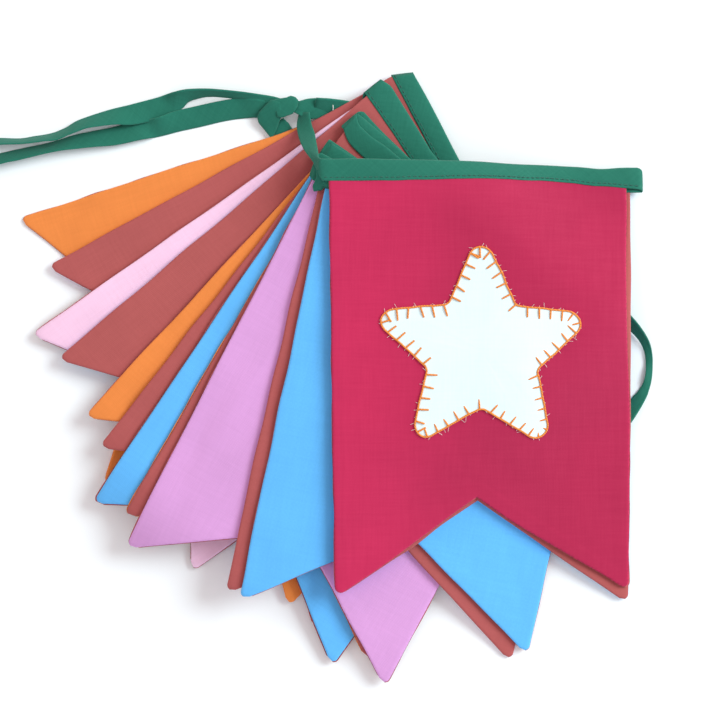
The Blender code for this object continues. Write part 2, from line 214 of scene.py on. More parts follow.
UPPER_TAIL = (
    Row(-21.5, 36.0, 3.6, 8.5, 0.0),
    Row(-27.0, 38.0, 3.4, 7.5, 0.05),
    Row(-36.0, 40.3, 3.2, 5.4, 0.15),
    Row(-46.0, 42.0, 3.2, 4.2, 0.3),
    Row(-61.5, 43.5, 2.4, 3.6, 0.5),
    Row(-70.5, 43.0, 2.2, 5.0, 0.5),
    Row(-78.0, 41.5, 2, 7.5, 0.5),
    Row(-84.5, 38.0, 2, 12.3, 0.5),
    Row(-91.5, 35.5, 2, 12.5, 0.5),
    Row(-101.0, 33.0, 2, 12.5, -0.5),
    Row(-109.5, 31.0, 2, 12.0, -0.5),
    Row(-118.0, 30.0, 2, 10.0, -0.5),
    Row(-125.0, 28.5, 2.1, 8.8, -0.5),
    Row(-135.0, 26.0, 2.2, 7.0, -0.5),
    Row(-140.0, 24.0, 2.2, 6.8, -0.5),
    Row(-145.0, 21.5, 2.0, 5.5, -0.5),
    Row(-152.0, 18.5, 1.9, 5.5, -0.5),
    Row(-158.0, 17.5, 1.9, 4.4, -0.5),
    Row(-165.0, 16.5, 1.8, 4.4, -0.5),
    Row(-173.0, 15.5, 1.7, 3.8, -0.5),
    Row(-185.0, 15.5, 1.2, 4.5, -0.5),
    Row(-200.0, 15.0, 0.5, 6, -0.5),
    Row(-223.5, 15.5, 0.5, 9, -0.5),
    Row(-253.0, 18.0, 0.5, 12, -0.5),
)
LOWER_TAIL = (
    Row(-23.5, 33.0, 2.4, 9.0, 0.0),
    Row(-29.5, 34.2, 1.6, 10.0, 0.1),
    Row(-36.0, 35.0, 1.0, 10.5, 0.5),
    Row(-45.5, 35.0, 0.5, 11.6, 0.5),
    Row(-56.0, 33.5, 0.5, 11.8, 0.5),
    Row(-69.5, 30.5, 0.5, 12.2, 0.5),
    Row(-82.5, 27.5, 0.5, 11.9, 0.5),
    Row(-91.5, 24.5, 0.5, 10.7, 0.5),
    Row(-105.0, 22.0, 0.5, 11.5, -0.5),
    Row(-118.0, 19.0, 0.5, 11.2, -0.5),
    Row(-131.5, 17.0, 0.5, 9.9, -0.5),
    Row(-140.5, 15.5, 0.5, 9.0, -0.5),
    Row(-149.5, 13.5, 0.5, 7.2, -0.5),
    Row(-158.0, 11.5, 0.5, 6.5, -0.5),
    Row(-167.0, 9.5, 0.5, 6.8, -0.5),
    Row(-176.0, 7.5, 0.5, 7.1, -0.5),
    Row(-185.0, 5.5, 0.5, 7.0, -0.5),
    Row(-218.0, -3.0, 0.5, 10, -0.5),
    Row(-257.0, -12.5, 0.5, 12.5, -0.5),
)

# Folds of tape pressed flat: those of the knot, the bunched ends of the lower headings beside flag 1's
# corner, and the doubled-over heading of flag 8, whose heights are over the middle of that flag.
KNOT_FOLDS = {
    "under": (
        Edges((-26.5, 26, 1.5), (-20.5, 29.5, 2)),
        Edges((-26.5, 22, 1.3), (-17, 26, 1.8)),
        Edges((-26, 18, 1.2), (-15, 22.5, 1.4)),
    ),
    "turned": (
        Edges((-27, 39.5, 8.5), (-21.5, 37.5, 9)),
        Edges((-31.5, 35.5, 7), (-21.5, 33, 8.5)),
        Edges((-35, 31.5, 5.5), (-21.5, 29.5, 7)),
        Edges((-35, 27, 4), (-22.5, 27.5, 6)),
        Edges((-31.5, 22.5, 3), (-24, 23.5, 4)),
        Edges((-27.5, 17.5, 2.4), (-26, 19.2, 2.8)),
    ),
    "lobe": (
        Edges((-14.5, 38, 7.5), (-15, 32.5, 7.5)),
        Edges((-10.5, 38.8, 8), (-12, 31, 7.5)),
        Edges((-6, 40, 8), (-8.5, 29, 6.5)),
        Edges((0.5, 40.5, 7), (-4.5, 28.5, 5)),
        Edges((5, 39.8, 5), (2, 29.5, 3)),
        Edges((9, 38.5, 3), (9, 32, 2)),
        Edges((13.5, 37, 1.6), (13.5, 33.5, 1.5)),
    ),
    "wrap": (
        Edges((-27.5, 39, 8), (-23.5, 29.5, 7.5)),
        Edges((-22.5, 40, 9), (-21, 29, 8)),
        Edges((-18.5, 40.5, 9.5), (-18, 30, 8.5)),
        Edges((-16, 41.5, 9.5), (-15, 31, 9)),
        Edges((-13, 40.5, 9.5), (-13.5, 33, 9.5)),
        Edges((-11.5, 38.7, 9), (-12, 35.5, 9)),
    ),
}
BUNCHED_FOLDS = {
    "left": (
        Edges((4.5, -4, 37), (-0.5, -4, 36)),
        Edges((4.5, -8.5, 35.5), (-0.8, -8, 34)),
        Edges((4.2, -12.5, 33), (-2.8, -12.5, 31)),
        Edges((2.6, -14.8, 31.5), (-2.2, -15.5, 30.5)),
    ),
    "right": (
        Edges((8.6, -5, 37.5), (2.5, -5, 36.5)),
        Edges((8.8, -9.5, 35.5), (3, -9.5, 34.5)),
        Edges((8.6, -13, 34), (3.6, -13.8, 33)),
    ),
}
DOUBLED_FLAG = 8
DOUBLED_FOLD = (
    Edges((22, 30, 1.2), (14.5, 21.5, 0.8)),
    Edges((22.5, 27, 1.9), (15.5, 18, 0.9)),
    Edges((23.5, 23.5, 2.2), (17.5, 13.5, 1.0)),
    Edges((26.5, 20.5, 2.2), (21.5, 9, 1.0)),
    Edges((31.5, 16, 2.1), (27.5, 3.5, 1.0)),
    Edges((39, 11, 2.0), (33, -1, 1.0)),
    Edges((48, 3.5, 1.9), (41, -3.5, 1.0)),
)

# A loose end of white thread across the knot: right, up and height, in mm.
LOOSE_THREAD = ((6.8, 39.2, 4.6), (7.6, 38.0, 5.4), (8.4, 36.4, 5.6), (8.5, 34.8, 5.4), (8.2, 33.0, 4.6))

# The star: as big as a letter on such a flag, in the middle of flag 1.
STAR_ACROSS = SIDE + 84 * MM
STAR_DOWN = TAPE_WIDTH + 93 * MM
STAR_WAIST = 0.56
STAR_POINT_RADIUS = 7 * MM
STAR_EDGE_POINTS = 420
STAR_EDGE_RISE = 0.4 * MM  # the star's cloth stands up from the flag at its edge
STAR_RISE = 0.3 * MM  # and by this much more further in

# The view: straight down from this far over the surface, over this place in plan.
EYE_HEIGHT = 1.2
EYE_PLAN = (24 * MM, -111 * MM)
VIEW_WIDTH = 418.7 * MM  # width of the surface that it takes in
FLOOR_REACH = 3.0

# The light: pale walls all round, and one large window. Its place is from the middle of the view.
COOL_WALL = (0.87, 0.91, 1.0, 1)  # on the side of the flags' tails
WARM_WALL = (1.0, 0.89, 0.85, 1)  # on the side of their headings
WALL_STRENGTH = 0.82
WINDOW_PLACE = (2.6, 1.25, 2.2)
WINDOW_SIZE = 2.0
WINDOW_POWER = 117.0
WINDOW_TINT = (0.80, 0.957, 1.0)

FLAG_GRID = 3.0 * MM
TOP_FLAG_GRID = 1.6 * MM
LOWER_GRID = 5.0 * MM
EDGE_STEPS = np.array([0.0, 0.25, 0.6, 1.1, 1.9, 3.0]) * MM  # rows of points beside a free edge
STRAND_STEP = 2.5  # mm between rings of a loose stretch of tape
FOLD_STEP = 1.5  # mm between rings of a fold
GRAIN_ACROSS, GRAIN_DOWN = 0.31, 0.17  # each flag is cut from another place on its cloth
GRAIN_BACK = 0.5  # and its back panel from one further on
LEAST = 0.05 * MM  # the least space between two surfaces


def from_hex(text):
    """A colour written as sRGB hex, as linear red, green and blue."""
    parts = [int(text[at : at + 2], 16) / 255 for at in (0, 2, 4)]
    return [c / 12.92 if c <= 0.04045 else ((c + 0.055) / 1.055) ** 2.4 for c in parts]


# ---------------------------------------------------------------- what a user may change


def length(name, description, default):
    """A length that a user may change."""
    return FloatProperty(
        name=name, description=description, default=default, min=0.0,
        unit="LENGTH", subtype="DISTANCE", precision=5,
    )


def colour(name, description, text):
    """A cloth or thread colour that a user may change."""
    return FloatVectorProperty(
        name=name, description=description, default=from_hex(text), min=0.0, max=1.0, size=3, subtype="COLOR"
    )


class BuntingSizes(bpy.types.PropertyGroup):
    """How thick, wavy and closely stitched the bunting is."""

    loft: length("Loft", "Half the thickness of a sewn flag", 1.0 * MM)
    sheet: length("Cloth", "Thickness of one panel's cloth", 0.45 * MM)
    leaf: length("Tape leaf", "Thickness of one side of the folded tape", 0.5 * MM)
    roll_over: FloatProperty(
        name="Back panel shows",
        description="How far lower panels roll out past the upper ones, 1 being as made",
        default=1.0, min=0.0, max=4.0, subtype="FACTOR",
    )
    swell: length("Swell", "Height of the low waves that lie across a flag", 0.35 * MM)
    pucker: length("Pucker", "Height of the short ripples beside a seam", 0.11 * MM)
    seam: length("Seam allowance", "Width of the turned-in cloth along a flag's edges", 7.0 * MM)
    star_radius: length("Star", "Middle of the star to its points", 58 * MM)
    running_pitch: length("Tape stitch", "Length of one stitch along the tape, with its gap", 3.1 * MM)
    blanket_pitch: length("Blanket stitch", "Distance from one prong to the next", 6.6 * MM)
    blanket_reach: length("Prong", "How far a blanket stitch reaches in from the edge", 6.0 * MM)
    thread: length("Thread", "Radius of the embroidery thread", 0.5 * MM)


class BuntingColours(bpy.types.PropertyGroup):
    """The dyed cloths, the tape and the threads."""

    crimson_linen: colour("Crimson linen", "Slubby linen of the top flag", "C42653")
    blue_cotton: colour("Blue cotton", "Bright light blue plain cotton", "62B6F4")
    lilac_cotton: colour("Lilac cotton", "Pinkish lilac plain cotton", "D89BD2")
    pink_cotton: colour("Pink cotton", "Very pale pink plain cotton", "F6C7E0")
    orange_cotton: colour("Orange cotton", "Warm orange plain cotton", "E98640")
    brick_cotton: colour("Brick cotton", "Brick red plain cotton of all the backs", "B05654")
    green_tape: colour("Green tape", "Teal green bias tape", "22715D")
    white_cotton: colour("White cotton", "White cotton of the star", "E2F4F6")
    orange_thread: colour("Orange thread", "Stranded embroidery thread round the star", "F08A28")
    dark_thread: colour("Dark thread", "Sewing thread along the tape", "175C4D")
    white_thread: colour("White thread", "Loose ends of white thread", "F0EFE6")
    floor: colour("Floor", "Plain pale surface under the bunting", "FCFCFC")


# ---------------------------------------------------------------- places and heights


def directions(flag):
    """The ways across and down a flag in plan, each as long as the flag's size makes one unit."""
    heading, side = radians(flag.turn + flag.skew), radians(flag.turn)
    across = np.array([cos(heading), -sin(heading)]) * flag.size
    down = np.array([-sin(side), -cos(side)]) * flag.size
    return across, down


def plan_place(flag, across, down):
    """The point in plan of a place on a flag."""
    way_across, way_down = directions(flag)
    x = flag.right * MM + way_across[0] * across + way_down[0] * down
    y = flag.up * MM + way_across[1] * across + way_down[1] * down
    return x, y


def plan_origin():
    """Where the plan's corner lies on the part: its lowest flag's box gives it."""
    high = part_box("flag_13_back")[1]
    right = plan_place(FLAGS[-1], SPAN - SIDE, CAD_CLOTH_TOP)[0]
    up = plan_place(FLAGS[-1], SIDE, CAD_CLOTH_TOP)[1]
    return high.x - right, high.y - up


ORIGIN = plan_origin()


def smooth_step(value, start, end):
    """0 before start, 1 after end, and a smooth rise between."""
    step = np.clip((value - start) / (end - start), 0, 1)
    return step * step * (3 - 2 * step)


def ease(distance):
    """1 at an edge, coming smoothly down to 0 where the cloth above has settled."""
    return 1 - smooth_step(distance, 0, EASE_OUT)


def flag_cover(flag, x, y):
    """How far a flag lifts the cloth above it: 1 over the flag, easing to 0 beyond its edges."""
    way_across, way_down = directions(flag)
    whole = way_across[0] * way_down[1] - way_across[1] * way_down[0]
    right, up = x - flag.right * MM, y - flag.up * MM
    across = (right * way_down[1] - up * way_down[0]) / whole
    down = (way_across[0] * up - way_across[1] * right) / whole
    beside = np.maximum(np.maximum(-across, across - SPAN), 0)
    beyond = np.maximum(np.maximum(-down, down - FLAG_LENGTH), 0)
    return ease(np.hypot(beside, beyond))


def nearest_on_line(x, y, line):
    """Each point's distance from a line of points, and how far along the line its nearest place is."""
    distance, along, passed = np.full(x.shape, np.inf), np.zeros(x.shape), 0.0
    for start, end in zip(line[:-1], line[1:]):
        run = end - start
        whole = np.hypot(*run)
        share = np.clip(((x - start[0]) * run[0] + (y - start[1]) * run[1]) / whole**2, 0, 1)
        here = np.hypot(x - start[0] - share * run[0], y - start[1] - share * run[1])
        closer = here < distance
        distance[closer] = here[closer]
        along[closer] = (passed + share * whole)[closer]
        passed += whole
    return distance, along


def underside(layer, x, y):
    """The underside of a layer of the pile in plan: all that lies under it, added up."""
    total = np.zeros(np.shape(x))
    for flag in FLAGS[layer + 1 :]:
        total += PITCH * flag_cover(flag, x, y)
    strand = np.array([(row.right, row.up) for row in BACK_STRAND]) * MM
    return total + TAPE_LIFT * ease(nearest_on_line(x, y, strand)[0] - TAPE_WIDTH / 2)


def waves(x, y, size, seed):
    """Low uneven waves of about this size, from -1 to 1, the same each time for the same seed."""
    chance = np.random.default_rng(seed)
    total = np.zeros(np.shape(x))
    for stretch in (1.0, 0.81, 1.27, 0.62):
        angle, start = chance.uniform(0, 2 * pi, 2)
        total += np.sin(2 * pi * (x * cos(angle) + y * sin(angle)) * stretch / size + start)
    return total / 3


def ripples(along, size, seed):
    """Low uneven waves along a line."""
    return waves(along, 0.0, size, seed)


def lengths_along(line):
    """How far along a line of points each of them lies."""
    return np.concatenate([[0], np.cumsum(np.linalg.norm(np.diff(line, axis=0), axis=1))])


def crease_height(layer, across, down):
    """The creases of one flag at places on it."""
    total = np.zeros(np.shape(across))
    for crease in CREASES:
        if crease.flag == layer + 1:
            line = np.array([(crease.across, crease.down), (crease.to_across, crease.to_down)]) * MM
            distance = nearest_on_line(across, down, line)[0]
            total += crease.depth * MM * np.exp(-((distance / (crease.width * MM)) ** 2) * 4)
    return total


def middle_height(layer, across, down):
    """The height of the middle of a flag's thickness at places on it."""
    x, y = plan_place(FLAGS[layer], across, down)
    swell = bpy.context.scene.bunting_sizes.swell * waves(across, down, 75 * MM, 100 + layer)
    return underside(layer, x, y) + MIDDLE + swell + crease_height(layer, across, down)


def half_outline(grow):
    """The left half of a flag's free edge: where its side starts, then round the tip and up to the notch."""
    angles = np.radians(np.linspace(180, 56, TIP_STEPS + 1))
    radius = TIP_RADIUS + grow
    tip = (SIDE + TAIL_INSET, FLAG_LENGTH - TIP_RADIUS)
    arc = np.stack([tip[0] + radius * np.cos(angles), tip[1] + radius * np.sin(angles)], axis=1)
    notch = (SPAN / 2, FLAG_LENGTH - NOTCH_DEPTH + grow / sin(NOTCH_HALF_ANGLE))
    return np.array([(SIDE - grow, CLOTH_TOP)]), np.vstack([arc, [notch]])


def whole_outline(grow):
    """A flag's free edge from the tape down one side, along both tails and up the other side."""
    start, edge = half_outline(grow)
    left = np.vstack([start, edge])
    right = left[::-1][1:] * (-1, 1) + (SPAN, 0)
    return np.vstack([left, right])


def edge_spacing(whole, pitch):
    """Distances from a free edge: close together beside it, then even."""
    count = max(2, round((whole - EDGE_STEPS[-1]) / pitch))
    return np.concatenate([EDGE_STEPS, np.linspace(EDGE_STEPS[-1], whole, count + 1)[1:]])


def panel_grid(grow, pitch):
    """Rows and columns of places over a flag's cut shape, closest together along its free edges."""
    start, edge = half_outline(grow)
    steps = edge_spacing(SPAN / 2 - start[0, 0], pitch)
    reach = lengths_along(edge)
    along = steps / steps[-1] * reach[-1]
    foot = np.stack([np.interp(along, reach, edge[:, 0]), np.interp(along, reach, edge[:, 1])])
    whole = foot[1] - CLOTH_TOP
    rows = edge_spacing(FLAG_LENGTH - CLOTH_TOP, pitch)
    near = np.minimum(rows, EDGE_STEPS[-1])[:, None]
    far = (rows - near[:, 0])[:, None] / (rows[-1] - EDGE_STEPS[-1])
    share = (near + far * (whole - EDGE_STEPS[-1])) / whole
    head = start[0, 0] + steps
    across = foot[0] + (head - foot[0]) * share
    down = foot[1] - whole * share
    across = np.hstack([across, SPAN - across[:, -2::-1]])
    return across, np.hstack([down, down[:, -2::-1]])


def wander(layer, across, down):
    """A place on a flag, moved a little, as hand-cut and hand-turned cloth is never quite true."""
    shift = 0.4 * MM
    free = smooth_step(down, 10 * MM, 30 * MM)  # not under the tape
    moved_across = across + shift * waves(across, down, 48 * MM, 200 + layer) * free
    moved_down = down + shift * waves(across, down, 37 * MM, 300 + layer) * free
    for cut in HAND_CUT:
        if cut.flag == layer + 1:
            away = np.hypot(across - cut.across * MM, down - cut.down * MM) / (cut.reach * MM)
            share = np.exp(-(away**2))
            moved_across += cut.right * MM * share
            moved_down += cut.further * MM * share
    return moved_across, moved_down


def panel_surface(layer, across, down, side, grow=0.0):
    """The outer surface of a flag's upper (side 1) or lower (side -1) panel: x, y, z and edge distance."""
    sizes = bpy.context.scene.bunting_sizes
    edge, along = nearest_on_line(across, down, whole_outline(grow))
    turned_in = 1.3 * MM  # an edge curves in over this width
    rounding = np.sqrt(np.maximum(1 - (1 - np.clip(edge / turned_in, 0, 1)) ** 2, 0))
    caught = 0.5 + 0.5 * smooth_step(down, 10 * MM, 26 * MM)  # the tape holds the panels together
    loft = sizes.loft * rounding * caught
    allowance = sizes.seam * (1 + 0.12 * ripples(along, 60 * MM, 400 + layer))
    step_height, step_width = 0.16 * MM, 1.6 * MM  # where the turned-in cloth ends
    loft += step_height * (1 - smooth_step(edge, allowance, allowance + step_width)) * rounding * caught
    ripple = ripples(along, 13 * MM, 500 + layer) * np.exp(-edge / (6 * MM))
    below_tape = np.maximum(down - TAPE_WIDTH, 0)
    gather = ripples(across, 9 * MM, 600 + layer) * np.exp(-below_tape / (9 * MM))
    loft += sizes.pucker * (ripple + gather) * rounding
    moved = wander(layer, across, down)
    x, y = plan_place(FLAGS[layer], *moved)
    return x, y, middle_height(layer, *moved) + side * loft, edge


# ---------------------------------------------------------------- meshes


def to_row_frame(x, y, z):
    """Places in plan as points in the part's frame."""
    return np.stack([x + ORIGIN[0], y + ORIGIN[1], z], axis=-1)


def add_object(name, data):
    """A new object in the scene, round its data."""
    made = bpy.data.objects.new(name, data)
    bpy.context.scene.collection.objects.link(made)
    return made


def make_mesh(name, points, faces, material, grain, seam):
    """A smooth-shaded mesh object, its faces turned outwards, with its cloth's grain and its worn seams."""
    mesh = bpy.data.meshes.new(name)
    mesh.from_pydata(points.reshape(-1, 3).tolist(), [], faces)
    mesh.attributes.new("seam", "FLOAT", "POINT").data.foreach_set("value", seam.ravel())
    corners = np.empty(len(mesh.loops), int)
    mesh.loops.foreach_get("vertex_index", corners)
    layer = mesh.uv_layers.new(name="grain")
    layer.data.foreach_set("uv", grain.reshape(-1, 2)[corners].ravel())
    bm = bmesh.new()
    bm.from_mesh(mesh)
    bmesh.ops.recalc_face_normals(bm, faces=bm.faces[:])
    bm.to_mesh(mesh)
    bm.free()
    mesh.polygons.foreach_set("use_smooth", [True] * len(mesh.polygons))
    mesh.materials.append(material)
    return add_object(name, mesh)


def grid_faces(rows, columns, first=0):
    """The quads of a grid of points, row by row."""
    corner = (np.arange(rows - 1)[:, None] * columns + np.arange(columns - 1)).ravel() + first
    return np.stack([corner, corner + 1, corner + 1 + columns, corner + columns], axis=1).tolist()


def sheet_faces(rows, columns):
    """The quads of a closed sheet: an outer grid, an inner grid after it, and the strip round their rims."""
    rim = list(range(columns)) + [row * columns + columns - 1 for row in range(1, rows)]
    rim += [(rows - 1) * columns + column for column in range(columns - 2, -1, -1)]
    rim += [row * columns for row in range(rows - 2, 0, -1)]
    under = rows * columns
    strip = [[a, b, b + under, a + under] for a, b in zip(rim, rim[1:] + rim[:1])]
    return grid_faces(rows, columns) + grid_faces(rows, columns, under) + strip


def tube_faces(count, around, first=0):
    """The faces of a closed skin over rings of points, its two ends included."""
    faces = []
    for ring in range(count - 1):
        here, onward = first + ring * around, first + (ring + 1) * around
        for i in range(around):
            beside = (i + 1) % around
            faces.append([here + i, here + beside, onward + beside, onward + i])
    last = first + (count - 1) * around
    return faces + [list(range(first, first + around)), list(range(last, last + around))]


def ride_root(piece, slot, *nodes):
    """The piece rides on the one body and stands for its nodes. The slot is not used."""
    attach(piece, "root")
    if nodes:
        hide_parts(*nodes)
    return piece


def outline_area(line):
    """The area inside a closed line of points."""
    x, y = line[:, 0], line[:, 1]
    return abs(np.dot(x, np.roll(y, -1)) - np.dot(y, np.roll(x, -1))) / 2


def smooth_path(rows, step):
    """Rows of numbers, the first three of them a place in mm, filled in along a smooth curve."""
    rows = np.array(rows, float)
    ends = np.vstack([2 * rows[0] - rows[1], rows, 2 * rows[-1] - rows[-2]])
    filled = []
    for before, start, end, after in zip(ends, ends[1:], ends[2:], ends[3:]):
        count = max(2, int(np.linalg.norm((end - start)[:3]) / step))
        t = np.linspace(0, 1, count, endpoint=False)[:, None]
        bend = 2 * before - 5 * start + 4 * end - after
        turn = 3 * start - before - 3 * end + after
        filled.append((2 * start + (end - before) * t + bend * t**2 + turn * t**3) / 2)
    return np.vstack(filled + [rows[-1:]])


# ---------------------------------------------------------------- cloth and thread finishes


def add_node(tree, kind, inputs=(), **settings):
    """Adds a node with its settings. Each input is a value, or the socket that feeds it."""
    made = tree.nodes.new(kind)
    for name, value in settings.items():
        setattr(made, name, value)
    for name, value in dict(inputs).items():
        if isinstance(value, bpy.types.NodeSocket):
            tree.links.new(value, made.inputs[name])
        else:
            made.inputs[name].default_value = value
    return made


def shade(rgb, amount):
    """A colour made darker (under 1) or lighter (over 1), with alpha."""
    return [min(channel * amount, 1.0) for channel in rgb] + [1.0]


def calculate(tree, operation, first, second):
    """The socket of a sum, difference or product."""
    return add_node(tree, "ShaderNodeMath", {0: first, 1: second}, operation=operation).outputs[0]


def bring_to(tree, value, start, end, low, high, **settings):
    """The socket of a value brought from the range start to end to the range low to high."""
    inputs = {"Value": value, "From Min": start, "From Max": end, "To Min": low, "To Max": high}
    return add_node(tree, "ShaderNodeMapRange", inputs, **settings).outputs[0]


def noise(tree, place, scale, detail, **inputs):
    """The socket of an uneven pattern."""
    inputs = {"Vector": place, "Scale": scale, "Detail": detail, **inputs}
    return add_node(tree, "ShaderNodeTexNoise", inputs).outputs["Fac"]


def blend(tree, share, first, second):
    """The socket of a colour between two."""
    inputs = {"Factor": share, "A": first, "B": second}
    return add_node(tree, "ShaderNodeMix", inputs, data_type="RGBA").outputs["Result"]


def new_material(name):
    """A new material, its nodes and its shader."""
    material = bpy.data.materials.new(name)
    material.use_nodes = True
    return material, material.node_tree, material.node_tree.nodes["Principled BSDF"]


BAND = 0.314  # a wave texture's scale that gives one band in each metre


def woven(name, rgb, thread, slub, fuzz, twist=0.0, worn=1.25, depth=1.0, painted_shade_along_grain=None):
    """Plain woven cloth: crossing threads this far apart, uneven slubs, a matt nap, and paler worn seams.

    The slubs are thicker stretches of thread, which darken and raise the cloth in long thin streaks.
    Where painted_shade_along_grain is given, painted shade makes the cloth's lightness fall to a share of
    itself between two places along the grain.
    """
    material, tree, shader = new_material(name)
    grain = add_node(tree, "ShaderNodeUVMap", uv_map="grain").outputs[0]
    turned = add_node(tree, "ShaderNodeMapping", {"Vector": grain, "Rotation": (0, 0, twist)}).outputs[0]
    heights, streaks = [], []
    for way, squeeze in (("X", (1.0, 0.07, 1.0)), ("Y", (0.07, 1.0, 1.0))):
        threads = add_node(
            tree, "ShaderNodeTexWave",
            {"Vector": turned, "Scale": BAND / thread, "Distortion": 1.6, "Detail": 2.0, "Detail Scale": 1.2},
            wave_type="BANDS", bands_direction=way,
        )
        heights.append(threads.outputs["Fac"])
        long_way = add_node(tree, "ShaderNodeMapping", {"Vector": turned, "Scale": squeeze}).outputs[0]
        streaks.append(noise(tree, long_way, 0.42 / thread, 3.0, Roughness=0.6))
    weave = calculate(tree, "MULTIPLY", *heights)
    slubs = calculate(tree, "ADD", *streaks)
    uneven = bring_to(tree, slubs, 0.72, 1.28, 1 - slub, 1 + slub)
    patchy = bring_to(tree, noise(tree, grain, 28.0, 4.0), 0.3, 0.7, 0.965, 1.03)
    # Painted shade: the cloth is darker in the hollows between the crossing threads.
    shade_between_threads = bring_to(tree, weave, 0.0, 0.8, 1 - slub * 0.7, 1.02)
    tone = calculate(tree, "MULTIPLY", calculate(tree, "MULTIPLY", uneven, patchy), shade_between_threads)
    # Painted shade: the cloth grows darker along its grain between two places.
    if painted_shade_along_grain:
        start, end, share = painted_shade_along_grain
        along = add_node(tree, "ShaderNodeSeparateXYZ", {0: grain}).outputs["X"]
        painted_shade_ramp = bring_to(tree, along, start, end, 1.0, share, interpolation_type="SMOOTHSTEP")
        tone = calculate(tree, "MULTIPLY", tone, painted_shade_ramp)
    dyed = add_node(tree, "ShaderNodeVectorMath", {0: tuple(rgb), "Scale": tone}, operation="SCALE").outputs[0]
    # Seams are paler in short flecks, where their edges are rubbed.
    seam = add_node(tree, "ShaderNodeAttribute", attribute_name="seam").outputs["Fac"]
    flecks = bring_to(tree, noise(tree, grain, 700.0, 2.0), 0.42, 0.6, 0.0, 1.0)
    cloth = blend(tree, calculate(tree, "MULTIPLY", seam, flecks), dyed, shade(rgb, worn))
    relief = calculate(tree, "ADD", calculate(tree, "MULTIPLY", slubs, 0.9), weave)
    rise = {"Height": relief, "Strength": 0.55, "Distance": 0.16 * MM * depth}
    bump = add_node(tree, "ShaderNodeBump", rise)
    tree.links.new(cloth, shader.inputs["Base Color"])
    tree.links.new(bump.outputs[0], shader.inputs["Normal"])
    tree.links.new(bring_to(tree, slubs, 0.7, 1.3, 0.93, 0.8), shader.inputs["Roughness"])
    shader.inputs["Specular IOR Level"].default_value = 0.25
    shader.inputs["Sheen Weight"].default_value = fuzz
    shader.inputs["Sheen Roughness"].default_value = 0.5
    return material


def spun(name, rgb, ply):
    """Twisted cotton thread: ply bumps with painted highlight and shade on their turns, and a soft nap."""
    material, tree, shader = new_material(name)
    place = add_node(tree, "ShaderNodeTexCoord").outputs["Object"]
    plies = add_node(
        tree, "ShaderNodeTexWave",
        {"Vector": place, "Scale": BAND / ply, "Distortion": 2.0, "Detail": 1.0},
        wave_type="BANDS", bands_direction="DIAGONAL",
    ).outputs["Fac"]
    bump = add_node(tree, "ShaderNodeBump", {"Height": plies, "Strength": 0.5, "Distance": 0.12 * MM})
    # Painted highlight and shade: the thread's colour turns lighter and darker along its plies.
    tree.links.new(blend(tree, plies, shade(rgb, 0.72), shade(rgb, 1.12)), shader.inputs["Base Color"])
    tree.links.new(bump.outputs[0], shader.inputs["Normal"])
    shader.inputs["Roughness"].default_value = 0.7
    shader.inputs["Sheen Weight"].default_value = 0.2
    return material


def finish(name):
    """The material of one cloth, tape or thread, made when it is first asked for."""
    if name in bpy.data.materials and name in FINISHES:
        return FINISHES[name]
    rgb = list(getattr(bpy.context.scene.bunting_colours, name))
    if name == "crimson_linen":
        # Slubby linen: uneven thick threads show as fine crosswise streaks, drawn 0.8 mm apart. The top flag
        # is
        # painted darker towards its right side: painted shade.
        painted_shade_to_right = (GRAIN_ACROSS + 20 * MM, GRAIN_ACROSS + 110 * MM, 0.78)
        made = woven("slubby_crimson_linen", rgb, 0.8 * MM, 0.03, 0.1, worn=1.3, depth=0.28, painted_shade_along_grain=painted_shade_to_right)
    elif name == "green_tape":
        # Bias tape: close cotton cut at 45 degrees, so its threads run slantwise. Drawn 0.6 mm apart.
        made = woven("green_cotton_bias_tape", rgb, 0.6 * MM, 0.06, 0.1, twist=pi / 4, worn=1.5)
    elif name == "white_cotton":
        # Plain white cotton with its weave just visible, 0.7 mm apart.
        made = woven("white_plain_cotton", rgb, 0.7 * MM, 0.015, 0.05, worn=1.1, depth=0.35)
    elif name.endswith("thread"):
        # Soft stranded thread, its plies painted lighter and darker by turns: painted highlight and shade.
        made = spun(f"spun_{name}", rgb, 0.9 * MM)
    else:
        # Plain quilting cotton: even, matt, its threads drawn 0.7 mm apart.
        made = woven(f"{name}_plain_weave", rgb, 0.7 * MM, 0.03, 0.08, depth=0.7)
    FINISHES[name] = made
    return made


FINISHES = {}


# ---------------------------------------------------------------- flags


